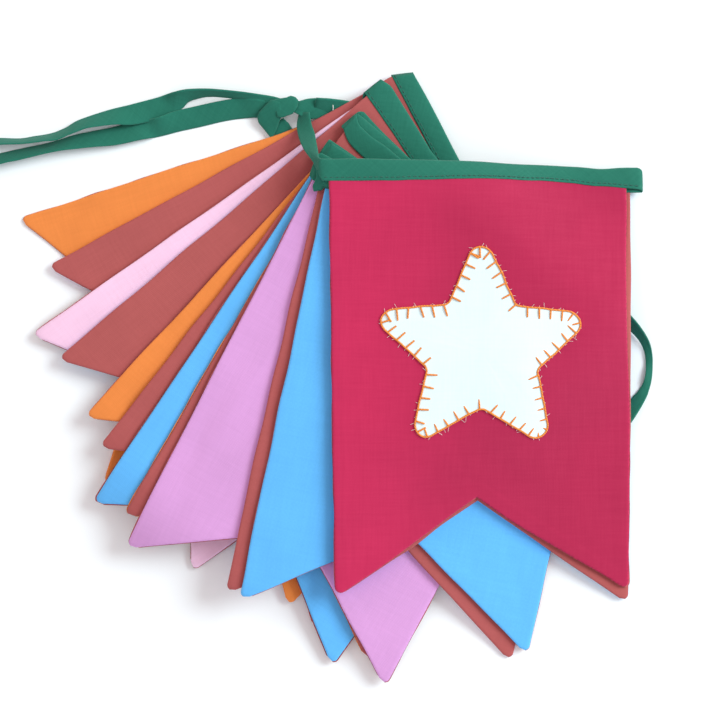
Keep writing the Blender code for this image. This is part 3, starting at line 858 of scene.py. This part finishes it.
def make_panel(layer, side, pitch):
    """One panel of a flag as a thin closed sheet, its edges curved in to the seam."""
    sizes = bpy.context.scene.bunting_sizes
    number = layer + 1
    face_up = layer % 2 == 0
    front = face_up == (side > 0)
    cloth = FLAGS[layer].front if front else "brick_cotton"
    grow = 0.0 if side > 0 else ROLL_OUT.get(number, USUAL_ROLL_OUT[layer % 2]) * MM * sizes.roll_over
    across, down = panel_grid(grow, pitch)
    if side < 0:
        uneven = 0.3 * MM * waves(across, down, 23 * MM, 700 + layer)
        outward = (across - SPAN / 2) / (FLAG_WIDTH / 2)
        across = across + uneven * outward
        down = down + uneven * smooth_step(down, 150 * MM, FLAG_LENGTH)
    x, y, outer, edge = panel_surface(layer, across, down, side, grow)
    edge = np.where(side < 0, np.maximum(edge - 0.2 * MM, 0), edge)
    lined = panel_surface(layer, across, down, 0, grow)[2]
    inner = lined + side * np.maximum(side * (outer - lined) - sizes.sheet, 0.4 * LEAST)
    outer = lined + side * np.maximum(side * (outer - lined), LEAST)
    points = np.stack([to_row_frame(x, y, outer), to_row_frame(x, y, inner)])
    if side < 0:
        points[..., 2] = np.maximum(points[..., 2], LEAST)
    cut_down = GRAIN_DOWN * number + GRAIN_BACK * (side < 0)
    grain = np.stack([across + GRAIN_ACROSS * number, down + cut_down], axis=-1)
    seam = np.exp(-edge / (0.5 * MM))
    kind = "front" if front else "back"
    made = make_mesh(
        f"flag_{number:02d}_{kind}_cloth", points, sheet_faces(*across.shape), finish(cloth),
        np.stack([grain, grain]), np.stack([seam, seam]),
    )
    ride_root(made, cloth, f"flag_{number:02d}_{kind}")
    size = FLAGS[layer].size
    area = outline_area(whole_outline(grow)) * size**2
    if side > 0:
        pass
    elif number < len(FLAGS):
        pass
    else:
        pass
    return made


class BUNTING_OT_flags(bpy.types.Operator):
    """Makes the front and back panel of every flag"""

    bl_idname = "bunting.flags"
    bl_label = "Make the flags"

    def execute(self, context):
        for layer in range(len(FLAGS)):
            make_panel(layer, -1, LOWER_GRID)
            make_panel(layer, 1, FLAG_GRID if layer else TOP_FLAG_GRID)
        return {"FINISHED"}


# ---------------------------------------------------------------- tape

# The folded tape's section, round from the upper leaf's open edge: share of the width from the fold, more
# from there in mm, share of the space inside, share of the leaf's thickness, and of the stitch groove.
TAPE_SECTION = np.array([
    (1, 0, 1, 0.15, 0), (1, -0.25, 1, 0.85, 0), (1, -1.0, 1, 1.15, 0), (1, -1.9, 1, 1.0, -1),
    (1, -2.8, 1, 1.1, 0), (0.62, 0, 1, 1.25, 0), (0.3, 0, 0.95, 1.2, 0), (0, 1.2, 0.75, 0.95, 0),
    (0, 0.4, 0.4, 0.6, 0), (0, 0, 0, 0, 0), (0, 0.4, -0.4, -0.6, 0), (0, 1.2, -0.75, -0.95, 0),
    (0.3, 0, -0.95, -1.2, 0), (0.62, 0, -1, -1.25, 0), (1, -2.8, -1, -1.1, 0), (1, -1.9, -1, -1.0, 1),
    (1, -1.0, -1, -1.15, 0), (1, -0.25, -1, -0.85, 0), (1, 0, -1, -0.15, 0), (1, -0.1, -1, 0, 0),
    (0.3, 0, -0.9, 0, 0), (0, 1.4, -0.2, 0, 0), (0, 1.4, 0.2, 0, 0), (0.3, 0, 0.9, 0, 0), (1, -0.1, 1, 0, 0),
])
TAPE_WEAR = {0: 0.7, 1: 0.35, 9: 0.6, 17: 0.35, 18: 0.7}  # rows of the section that are rubbed, and how much
STITCH_LINE, STITCH_LINE_BELOW = 3, 15  # rows of the section that the running stitch follows

Tape = namedtuple("Tape", "fold open normal space groove")


def strand(rows, step=STRAND_STEP):
    """A loose stretch of tape from its rows, as a Tape of arrays."""
    path = smooth_path([(row.right, row.up, row.height, row.width, row.roll) for row in rows], step)
    shows, roll = path[:, 3] * MM, np.clip(path[:, 4], -1, 1)
    width = shows + np.maximum(TAPE_WIDTH - shows, 0) * np.abs(roll)
    lean = np.arccos(np.clip(shows / width, 0.3, 1)) * np.sign(roll)
    lift = width / 2 * np.abs(np.sin(lean))
    centre = to_row_frame(path[:, 0] * MM, path[:, 1] * MM, path[:, 2] * MM + lift)
    travel = np.gradient(centre, axis=0)
    travel /= np.linalg.norm(travel, axis=1)[:, None]
    side = np.cross(travel, (0, 0, 1))
    side /= np.linalg.norm(side, axis=1)[:, None]
    normal = np.cross(side, travel)
    lean = lean[:, None]
    across = np.cos(lean) * side + np.sin(lean) * normal
    facing = np.cos(lean) * normal - np.sin(lean) * side
    half = across * width[:, None] / 2
    still = np.zeros(len(centre))
    return Tape(centre - half, centre + half, facing, still + LEAST, still)


def shaped_strand(rows, step=STRAND_STEP):
    """A loose stretch of tape from both its edges, as a Tape of arrays."""
    path = smooth_path([(*row.fold, *row.open) for row in rows], step) * MM
    fold = to_row_frame(path[:, 0], path[:, 1], path[:, 2])
    free = to_row_frame(path[:, 3], path[:, 4], path[:, 5])
    facing = np.cross(free - fold, np.gradient(fold + free, axis=0))
    facing /= np.linalg.norm(facing, axis=1)[:, None]
    still = np.zeros(len(fold))
    return Tape(fold, free, facing, still + 3 * LEAST, still)


def path_length(tape):
    """The length of a stretch of tape along its middle."""
    return lengths_along((tape.fold + tape.open) / 2)[-1]


def lay_on(number, place):
    """A place whose height in mm is over the middle of a flag, with its height over the surface."""
    right, up, over = place
    under = float(underside(number - 1, np.array(right * MM), np.array(up * MM)))
    return right, up, over + (under + MIDDLE) / MM


def heading(layer):
    """The tape along one flag's heading, in the way that the tape runs: left to right on odd flags."""
    sizes = bpy.context.scene.bunting_sizes
    pitch = 1.5 * MM if layer == 0 else 3.0 * MM
    start = 2.5 * MM if layer == 0 else TUCK
    end = SPAN if layer in (0, 1, len(FLAGS) - 1) else SPAN - TUCK
    across = np.linspace(start, end, round(SPAN / pitch) + 1)
    width = np.full(across.shape, TAPE_WIDTH)
    if layer == 0:
        width = np.interp(across, *np.array(TOP_TAPE_WIDTHS).T * MM)
    width = width + 0.18 * MM * ripples(across, 21 * MM, 800 + layer)
    top = 0.25 * MM * ripples(across, 34 * MM, 900 + layer)
    if layer == 0:
        dip, dip_across, dip_width = 1.1 * MM, 160 * MM, 9 * MM
        top = top + dip * np.exp(-(((across - dip_across) / dip_width) ** 2))
    if layer + 1 in OUT_OF_LINE:
        places, fold_lies, edge_lies = np.array(OUT_OF_LINE[layer + 1]).T * MM
        top = top + np.interp(across, places, fold_lies)
        width = width + np.interp(across, places, edge_lies)
    near = MM * (1 - smooth_step(across - start, 0, 14 * MM))
    fold_shift, edge_shift = (late * near for late in SLANTED_ENDS.get(layer + 1, (0.0, 0.0)))
    edges = []
    for down, shift in ((top, fold_shift), (width, edge_shift)):
        x, y = plan_place(FLAGS[layer], across + shift, down)
        edges.append(to_row_frame(x, y, middle_height(layer, across + shift, down)))
    inside = smooth_step(np.minimum(across - start, end - across), 0, 3 * MM)
    space = LEAST + inside * sizes.loft * 0.5
    dents = 0.10 + 0.08 * np.sin(2 * pi * across / sizes.running_pitch)
    facing = np.tile([0.0, 0.0, 1.0 if layer % 2 == 0 else -1.0], (len(across), 1))
    tape = Tape(edges[0], edges[1], facing, space, dents * MM * inside)
    return tape if layer % 2 == 0 else Tape(*(part[::-1] for part in tape))


def half_turn(before, after, outward, steps=7):
    """The tape's turn from one flag's heading down to the next one's."""
    turn = pi * np.arange(1, steps) / steps
    share = ((1 - np.cos(turn)) / 2)[:, None]
    edges = []
    for start, end in ((before.fold[-1], after.fold[0]), (before.open[-1], after.open[0])):
        bulge = abs(start[2] - end[2]) / 2 * np.sin(turn)[:, None]
        edges.append(start + (end - start) * share + outward * bulge)
    facing = np.cos(turn)[:, None] * before.normal[-1] + np.sin(turn)[:, None] * outward
    still = np.zeros(len(turn))
    return Tape(edges[0], edges[1], facing, still + LEAST, still)


def tape_rings(tape, leaf):
    """The points of the tape's section at each of its rings."""
    width = np.linalg.norm(tape.open - tape.fold, axis=1)
    way = (tape.open - tape.fold) / width[:, None]
    share, more, space, thick, groove = TAPE_SECTION.T
    squeezed = np.minimum(1, width / (8 * MM))[:, None]
    reach = share * width[:, None] + more * MM * squeezed
    raised = space * tape.space[:, None] + thick * leaf * squeezed + groove * tape.groove[:, None]
    rings = tape.fold[:, None] + way[:, None] * reach[..., None]
    rings = rings + tape.normal[:, None] * raised[..., None]
    rings[..., 2] = np.maximum(rings[..., 2], 0.03 * MM)
    return rings


def make_tape(name, *tapes):
    """Stretches of folded tape as one object, each a closed skin, and their whole length."""
    points, faces, grain, worn = [], [], [], []
    whole, first = 0.0, 0
    rubbed = [TAPE_WEAR.get(row, 0.0) for row in range(len(TAPE_SECTION))]
    for tape in tapes:
        rings = tape_rings(tape, bpy.context.scene.bunting_sizes.leaf)
        count, around = rings.shape[:2]
        faces += tube_faces(count, around, first)
        along = lengths_along(rings.mean(axis=1))
        places = np.broadcast_arrays(along[:, None] + whole, lengths_along(rings[count // 2])[None, :])
        grain.append(np.stack(places, axis=-1).reshape(-1, 2))
        worn.append(np.tile(rubbed, count))
        points.append(rings.reshape(-1, 3))
        whole += along[-1]
        first += count * around
    cloth = finish("green_tape")
    return make_mesh(name, np.vstack(points), faces, cloth, np.vstack(grain), np.concatenate(worn)), whole


def joined(*tapes):
    """Stretches of tape, end to end, as one."""
    return Tape(*(np.concatenate(parts) for parts in zip(*tapes)))


class BUNTING_OT_heading(bpy.types.Operator):
    """Makes the tape from the knot along all the flags and back, and its line of running stitch"""

    bl_idname = "bunting.heading"
    bl_label = "Make the heading tape"

    def execute(self, context):
        headings = [heading(layer) for layer in range(len(FLAGS))]
        parts = [shaped_strand(FRONT_STRAND), headings[0]]
        for layer in range(1, len(FLAGS)):
            turn = radians(FLAGS[layer].turn)
            outward = np.array([cos(turn), -sin(turn), 0]) * (1 if layer % 2 else -1)
            parts += [half_turn(headings[layer - 1], headings[layer], outward), headings[layer]]
        parts.append(strand(BACK_STRAND))
        made, whole = make_tape("heading_bias_tape", joined(*parts))
        ride_root(made, "green_tape", "heading_tape")
        sizes = context.scene.bunting_sizes
        lines = []
        for layer, tape in enumerate(headings):
            above = STITCH_LINE_BELOW if layer % 2 else STITCH_LINE
            lines.append(tape_rings(tape, sizes.leaf)[tape.groove > 0][:, above])
        thread = stitch_lines(
            "heading_running_stitch", lines, "dark_thread",
            Stitch(sizes.running_pitch, 2.0 * MM, 0.26 * MM, 0.12 * MM, 0.0, 0.06, 0.12, 3),
        )
        ride_root(thread, "green_tape")
        folds = [shaped_strand(rows, FOLD_STEP) for rows in BUNCHED_FOLDS.values()]
        bunched = make_tape("heading_bunched_folds", *folds)[0]
        rows = [Edges(*(lay_on(DOUBLED_FLAG, place) for place in row)) for row in DOUBLED_FOLD]
        doubled = make_tape("heading_doubled_fold", shaped_strand(rows, FOLD_STEP))[0]
        loose = to_row_frame(*(np.array(LOOSE_THREAD) * MM).T)
        caught = thread_line("heading_loose_thread", loose, 0.25 * MM, False, "white_thread")
        for fold in (bunched, doubled, caught):
            ride_root(fold, "green_tape")
        return {"FINISHED"}


class BUNTING_OT_tails(bpy.types.Operator):
    """Makes the two loose ends of the tape"""

    bl_idname = "bunting.tails"
    bl_label = "Make the tails"

    def execute(self, context):
        for name, rows in (("tie_tail_upper", UPPER_TAIL), ("tie_tail_lower", LOWER_TAIL)):
            made, whole = make_tape(f"{name}_tape", strand(rows))
            ride_root(made, "green_tape", name)
        return {"FINISHED"}


class BUNTING_OT_knot(bpy.types.Operator):
    """Makes the folds of the knot"""

    bl_idname = "bunting.knot"
    bl_label = "Make the knot"

    def execute(self, context):
        folds = [shaped_strand(rows, FOLD_STEP) for rows in KNOT_FOLDS.values()]
        knot = make_tape("tie_knot_folds", *folds)[0]
        ride_root(knot, "green_tape", "tie_knot")
        widths = [np.linalg.norm(fold.open - fold.fold, axis=1).mean() for fold in folds]
        area = sum(width * path_length(fold) for width, fold in zip(widths, folds))
        return {"FINISHED"}


# ---------------------------------------------------------------- thread


# One sort of stitch: from one to the next, its length, its thread's radius, how high it arches, its turn from
# the line in radians, how uneven turn and length are, and the seed of that.
Stitch = namedtuple("Stitch", "spacing reach radius arch turn turn_jitter length_jitter seed")


def stitch_tree():
    """Geometry Nodes that lay one stitch after another along lines, with an input for each field of Stitch."""
    if "stitches_along_a_line" in bpy.data.node_groups:
        return bpy.data.node_groups["stitches_along_a_line"]
    tree = bpy.data.node_groups.new("stitches_along_a_line", "GeometryNodeTree")
    sockets = [("Geometry", "Geometry", "INPUT")]
    sockets += [(name, "Int" if name == "seed" else "Float", "INPUT") for name in Stitch._fields]
    sockets += [("Material", "Material", "INPUT"), ("Geometry", "Geometry", "OUTPUT")]
    for name, kind, way in sockets:
        tree.interface.new_socket(name, in_out=way, socket_type=f"NodeSocket{kind}")
    given = add_node(tree, "NodeGroupInput").outputs
    line = add_node(tree, "GeometryNodeMeshToCurve", {"Mesh": given["Geometry"]}).outputs[0]
    every = {"Curve": line, "Length": given["spacing"]}
    places = add_node(tree, "GeometryNodeCurveToPoints", every, mode="LENGTH")
    tangent = {"Vector": places.outputs["Tangent"]}
    along = add_node(tree, "FunctionNodeAlignRotationToVector", tangent, axis="X", pivot_axis="Z").outputs[0]

    def about(middle, jitter, seed):
        """The socket of a number that differs from stitch to stitch."""
        least, most = (calculate(tree, way, middle, jitter) for way in ("SUBTRACT", "ADD"))
        bounds = {2: least, 3: most, "Seed": seed}
        return add_node(tree, "FunctionNodeRandomValue", bounds, data_type="FLOAT").outputs[1]

    turn = about(given["turn"], given["turn_jitter"], given["seed"])
    turned = add_node(tree, "ShaderNodeCombineXYZ", {"Z": turn}).outputs[0]
    lean = add_node(tree, "FunctionNodeEulerToRotation", {0: turned}).outputs[0]
    pose = add_node(tree, "FunctionNodeRotateRotation", {0: along, 1: lean}, rotation_space="LOCAL").outputs[0]
    end = add_node(tree, "ShaderNodeCombineXYZ", {"X": given["reach"]}).outputs[0]
    half = calculate(tree, "MULTIPLY", given["reach"], 0.5)
    crest = calculate(tree, "MULTIPLY", given["arch"], 2.0)
    middle = add_node(tree, "ShaderNodeCombineXYZ", {"X": half, "Z": crest}).outputs[0]
    bow = {"Resolution": 6, "Start": (0, 0, 0), "Middle": middle, "End": end}
    stitch = add_node(tree, "GeometryNodeCurveQuadraticBezier", bow).outputs[0]
    ring = {"Resolution": 6, "Radius": given["radius"]}
    profile = add_node(tree, "GeometryNodeCurvePrimitiveCircle", ring).outputs[0]
    skin = {"Curve": stitch, "Profile Curve": profile, "Fill Caps": True}
    body = add_node(tree, "GeometryNodeCurveToMesh", skin).outputs[0]
    other = add_node(tree, "FunctionNodeIntegerMath", {0: given["seed"], 1: 7}, operation="ADD").outputs[0]
    stretch = about(1.0, given["length_jitter"], other)
    scale = add_node(tree, "ShaderNodeCombineXYZ", {"X": stretch, "Y": 1.0, "Z": 1.0}).outputs[0]
    laid = add_node(
        tree, "GeometryNodeInstanceOnPoints",
        {"Points": places.outputs["Points"], "Instance": body, "Rotation": pose, "Scale": scale},
    ).outputs[0]
    real = add_node(tree, "GeometryNodeRealizeInstances", {0: laid}).outputs[0]
    smooth = add_node(tree, "GeometryNodeSetShadeSmooth", {"Geometry": real}).outputs[0]
    dyed = add_node(tree, "GeometryNodeSetMaterial", {"Geometry": smooth, "Material": given["Material"]})
    add_node(tree, "NodeGroupOutput", {0: dyed.outputs[0]})
    return tree


def stitch_lines(name, lines, thread, stitch):
    """A plain mesh of stitches laid along lines of points."""
    points, edges = [], []
    for line in lines:
        first = len(points)
        points += [tuple(point) for point in line]
        edges += [(first + i, first + i + 1) for i in range(len(line) - 1)]
    guide = bpy.data.meshes.new(f"{name}_line")
    guide.from_pydata(points, edges, [])
    sewn = add_object(name, guide)
    tree = stitch_tree()
    modifier = sewn.modifiers.new("stitches", "NODES")
    modifier.node_group = tree
    sockets = {item.name: item.identifier for item in tree.interface.items_tree if item.in_out == "INPUT"}
    for field, value in stitch._asdict().items():
        modifier[sockets[field]] = value
    modifier[sockets["Material"]] = finish(thread)
    bpy.context.view_layer.update()
    graph = bpy.context.evaluated_depsgraph_get()
    laid = sewn.evaluated_get(graph)
    mesh = bpy.data.meshes.new_from_object(laid, preserve_all_data_layers=True, depsgraph=graph)
    mesh.name = name
    sewn.modifiers.remove(modifier)
    sewn.data = mesh
    bpy.data.meshes.remove(guide)
    if not mesh.polygons:
        raise RuntimeError(f"{name}: no stitch was laid")
    return sewn


def thread_line(name, points, radius, closed, thread):
    """A single thread along points, as a plain mesh."""
    curve = bpy.data.curves.new(name, "CURVE")
    curve.dimensions = "3D"
    curve.bevel_depth = radius
    curve.bevel_resolution = 2
    curve.use_fill_caps = not closed
    spline = curve.splines.new("POLY")
    spline.points.add(len(points) - 1)
    for place, point in zip(spline.points, points):
        place.co = (*point, 1)
    spline.use_cyclic_u = closed
    held = add_object(name, curve)
    bpy.context.view_layer.update()
    mesh = bpy.data.meshes.new_from_object(held)
    bpy.data.objects.remove(held)
    mesh.name = name
    mesh.materials.clear()
    mesh.materials.append(finish(thread))
    mesh.polygons.foreach_set("use_smooth", [True] * len(mesh.polygons))
    return add_object(name, mesh)


# ---------------------------------------------------------------- star


def round_corner(middle, radius, facing, half_turn_round, count):
    """Points round a corner: an arc about its middle, facing one way."""
    angles = facing + np.radians(np.linspace(-half_turn_round, half_turn_round, count))
    return [(middle[0] + radius * cos(angle), middle[1] + radius * sin(angle)) for angle in angles]


def star_outline(inset):
    """The star's outline as places on flag 1, this far in from its edge."""
    radius = bpy.context.scene.bunting_sizes.star_radius
    points = []
    for corner in range(10):
        angle = radians(-90 + 36 * corner)
        if corner % 2 == 0:
            tip = radius - STAR_POINT_RADIUS
            middle = (tip * cos(angle), tip * sin(angle))
            points += round_corner(middle, STAR_POINT_RADIUS - inset, angle, 62, 13)
        else:
            points += round_corner((0, 0), radius * STAR_WAIST - inset, angle, 2.4, 3)
    points = np.array(points)
    closed = np.vstack([points, points[:1]])
    reach = lengths_along(closed)
    even = np.linspace(0, reach[-1], STAR_EDGE_POINTS, endpoint=False)
    line = np.stack([np.interp(even, reach, closed[:, side]) for side in (0, 1)], axis=1)
    outward = line / np.linalg.norm(line, axis=1)[:, None]
    ragged = 0.25 * MM * ripples(even, 11 * MM, 41)[:, None] * outward
    return line + ragged + (STAR_ACROSS, STAR_DOWN)


def on_top_flag(line, lift):
    """Points this far above flag 1's cloth, at places on it."""
    x, y, z, _ = panel_surface(0, line[..., 0], line[..., 1], 1)
    return to_row_frame(x, y, z + lift)


def make_star():
    """The star's cloth: rings of points from its edge to its middle, upper side and lower side."""
    edge = star_outline(0)
    middle = np.array([STAR_ACROSS, STAR_DOWN])
    shares = np.array([0, 0.004, 0.012, 0.03, 0.06, 0.1, 0.16, 0.24, 0.34, 0.46, 0.6, 0.74, 0.87, 0.96])
    places = edge + (middle - edge) * shares[:, None, None]
    inward = shares * np.linalg.norm(edge - middle, axis=1).min()
    rise = STAR_EDGE_RISE * np.minimum(1, inward / (0.6 * MM)) ** 0.5
    rise += STAR_RISE * smooth_step(inward, 0, 14 * MM)
    drawn = 0.08 * MM * waves(places[..., 0], places[..., 1], 9 * MM, 43)
    drawn *= smooth_step(inward, 0, 4 * MM)[:, None]
    upper, lower = on_top_flag(places, 0.0), on_top_flag(places, 0.0)
    upper[..., 2] += rise[:, None] + drawn
    lower[..., 2] += 0.03 * MM
    rings = np.concatenate([upper[::-1], lower[:-1]])
    grain = np.concatenate([places[::-1], places[:-1]])
    worn = np.exp(-inward / (0.5 * MM))
    seam = np.repeat(np.concatenate([worn[::-1], worn[:-1]]), len(edge))
    faces = tube_faces(*rings.shape[:2])
    return make_mesh("applique_star_cloth", rings, faces, finish("white_cotton"), grain, seam)


def star_rim():
    """The line that the thread round the star follows, a little unsteady from stitch to stitch."""
    line = star_outline(0.15 * MM)
    every = 6
    wobble = np.random.default_rng(5).normal(0, 0.12 * MM, (len(line) // every, 2))
    known = np.arange(len(wobble)) * every
    wobble = np.stack([np.interp(np.arange(len(line)), known, wobble[:, side]) for side in (0, 1)], axis=1)
    return on_top_flag(line + wobble, 0.7 * MM)


class BUNTING_OT_star(bpy.types.Operator):
    """Makes the star on the top flag, its blanket stitch and its frayed threads"""

    bl_idname = "bunting.star"
    bl_label = "Make the star"

    def execute(self, context):
        sizes = context.scene.bunting_sizes
        star = make_star()
        ride_root(star, "white_cotton", "applique_star")
        rim = star_rim()
        border = thread_line("star_edge_thread", rim, sizes.thread, True, "orange_thread")
        prongs = stitch_lines(
            "star_blanket_stitch", [np.vstack([rim, rim[:1]])], "orange_thread",
            Stitch(sizes.blanket_pitch, sizes.blanket_reach, sizes.thread, 0.35 * MM, -pi / 2, 0.2, 0.14, 11),
        )
        frays = stitch_lines(
            "star_frayed_threads", [on_top_flag(star_outline(0.3 * MM), 0.3 * MM)], "white_thread",
            Stitch(3.7 * MM, 2.2 * MM, 0.09 * MM, 0.3 * MM, pi / 2, 1.2, 0.6, 23),
        )
        for piece in (border, prongs, frays):
            ride_root(piece, "white_cotton")
        outline_area(star_outline(0))
        return {"FINISHED"}


# ---------------------------------------------------------------- stage


def painted_board(rgb):
    """Matt painted board: pale, with hardly any sheen."""
    paint, tree, shader = new_material("matt_painted_board")
    place = add_node(tree, "ShaderNodeTexCoord").outputs["Object"]
    tone = blend(tree, noise(tree, place, 9.0, 3.0), shade(rgb, 0.99), shade(rgb, 1.0))
    tree.links.new(tone, shader.inputs["Base Color"])
    shader.inputs["Roughness"].default_value = 0.9
    shader.inputs["Specular IOR Level"].default_value = 0.1
    return paint


def make_floor():
    """The surface that the bunting lies on."""
    mesh = bpy.data.meshes.new("floor")
    corners = [(x * FLOOR_REACH, y * FLOOR_REACH, 0) for x, y in ((-1, -1), (1, -1), (1, 1), (-1, 1))]
    mesh.from_pydata(corners, [], [(0, 1, 2, 3)])
    mesh.materials.append(painted_board(list(bpy.context.scene.bunting_colours.floor)))
    add_object("floor", mesh)


def make_walls():
    """The light of the room's walls, from cool on one side to warm on the other."""
    world = bpy.data.worlds.new("studio")
    bpy.context.scene.world = world
    world.use_nodes = True
    tree = world.node_tree
    way = add_node(tree, "ShaderNodeTexCoord").outputs["Generated"]
    forward = add_node(tree, "ShaderNodeSeparateXYZ", {0: way}).outputs["Y"]
    sky = tree.nodes["Background"]
    walls = blend(tree, bring_to(tree, forward, -0.5, 0.35, 0.0, 1.0), COOL_WALL, WARM_WALL)
    tree.links.new(walls, sky.inputs["Color"])
    sky.inputs["Strength"].default_value = WALL_STRENGTH


def make_window(target):
    """The large soft light at one side, turned to the middle of the view."""
    light = bpy.data.lights.new("window", "AREA")
    light.shape = "DISK"
    light.size = WINDOW_SIZE
    light.energy = WINDOW_POWER
    light.color = WINDOW_TINT
    window = add_object("window", light)
    window.location = target + Vector(WINDOW_PLACE)
    window.rotation_euler = (-Vector(WINDOW_PLACE)).to_track_quat("-Z", "Y").to_euler()


class BUNTING_OT_stage(bpy.types.Operator):
    """Makes the floor, the light and the camera"""

    bl_idname = "bunting.stage"
    bl_label = "Make the stage"

    def execute(self, context):
        scene = context.scene
        target = Vector((EYE_PLAN[0] + ORIGIN[0], EYE_PLAN[1] + ORIGIN[1], 0))
        make_floor()
        make_walls()
        make_window(target)
        camera = add_object("overhead", bpy.data.cameras.new("overhead"))
        camera.location = target + Vector((0, 0, EYE_HEIGHT))
        camera.data.angle = 2 * atan(VIEW_WIDTH / 2 / EYE_HEIGHT)
        camera.data.clip_start = 0.01
        scene.camera = camera
        scene.view_settings.view_transform = "Standard"
        return {"FINISHED"}


# ---------------------------------------------------------------- add-on

MAKERS = (
    BUNTING_OT_flags,
    BUNTING_OT_heading,
    BUNTING_OT_tails,
    BUNTING_OT_knot,
    BUNTING_OT_star,
    BUNTING_OT_stage,
)


class BUNTING_PT_panel(bpy.types.Panel):
    """The bunting's makers, sizes and colours"""

    bl_idname = "BUNTING_PT_panel"
    bl_label = "Fabric Bunting"
    bl_space_type = "VIEW_3D"
    bl_region_type = "UI"
    bl_category = "Bunting"

    def draw(self, context):
        for maker in MAKERS:
            self.layout.operator(maker.bl_idname)
        for group in (context.scene.bunting_sizes, context.scene.bunting_colours):
            column = self.layout.column()
            for name in group.__annotations__:
                column.prop(group, name)


CLASSES = (BuntingSizes, BuntingColours, *MAKERS, BUNTING_PT_panel)


def register():
    for kind in CLASSES:
        bpy.utils.register_class(kind)
    bpy.types.Scene.bunting_sizes = PointerProperty(type=BuntingSizes)
    bpy.types.Scene.bunting_colours = PointerProperty(type=BuntingColours)


def unregister():
    del bpy.types.Scene.bunting_colours
    del bpy.types.Scene.bunting_sizes
    for kind in reversed(CLASSES):
        bpy.utils.unregister_class(kind)


def main():
    register()
    bpy.ops.bunting.flags()
    bpy.ops.bunting.heading()
    bpy.ops.bunting.tails()
    bpy.ops.bunting.knot()
    bpy.ops.bunting.star()
    bpy.ops.bunting.stage()


if __name__ == "__main__":
    main()
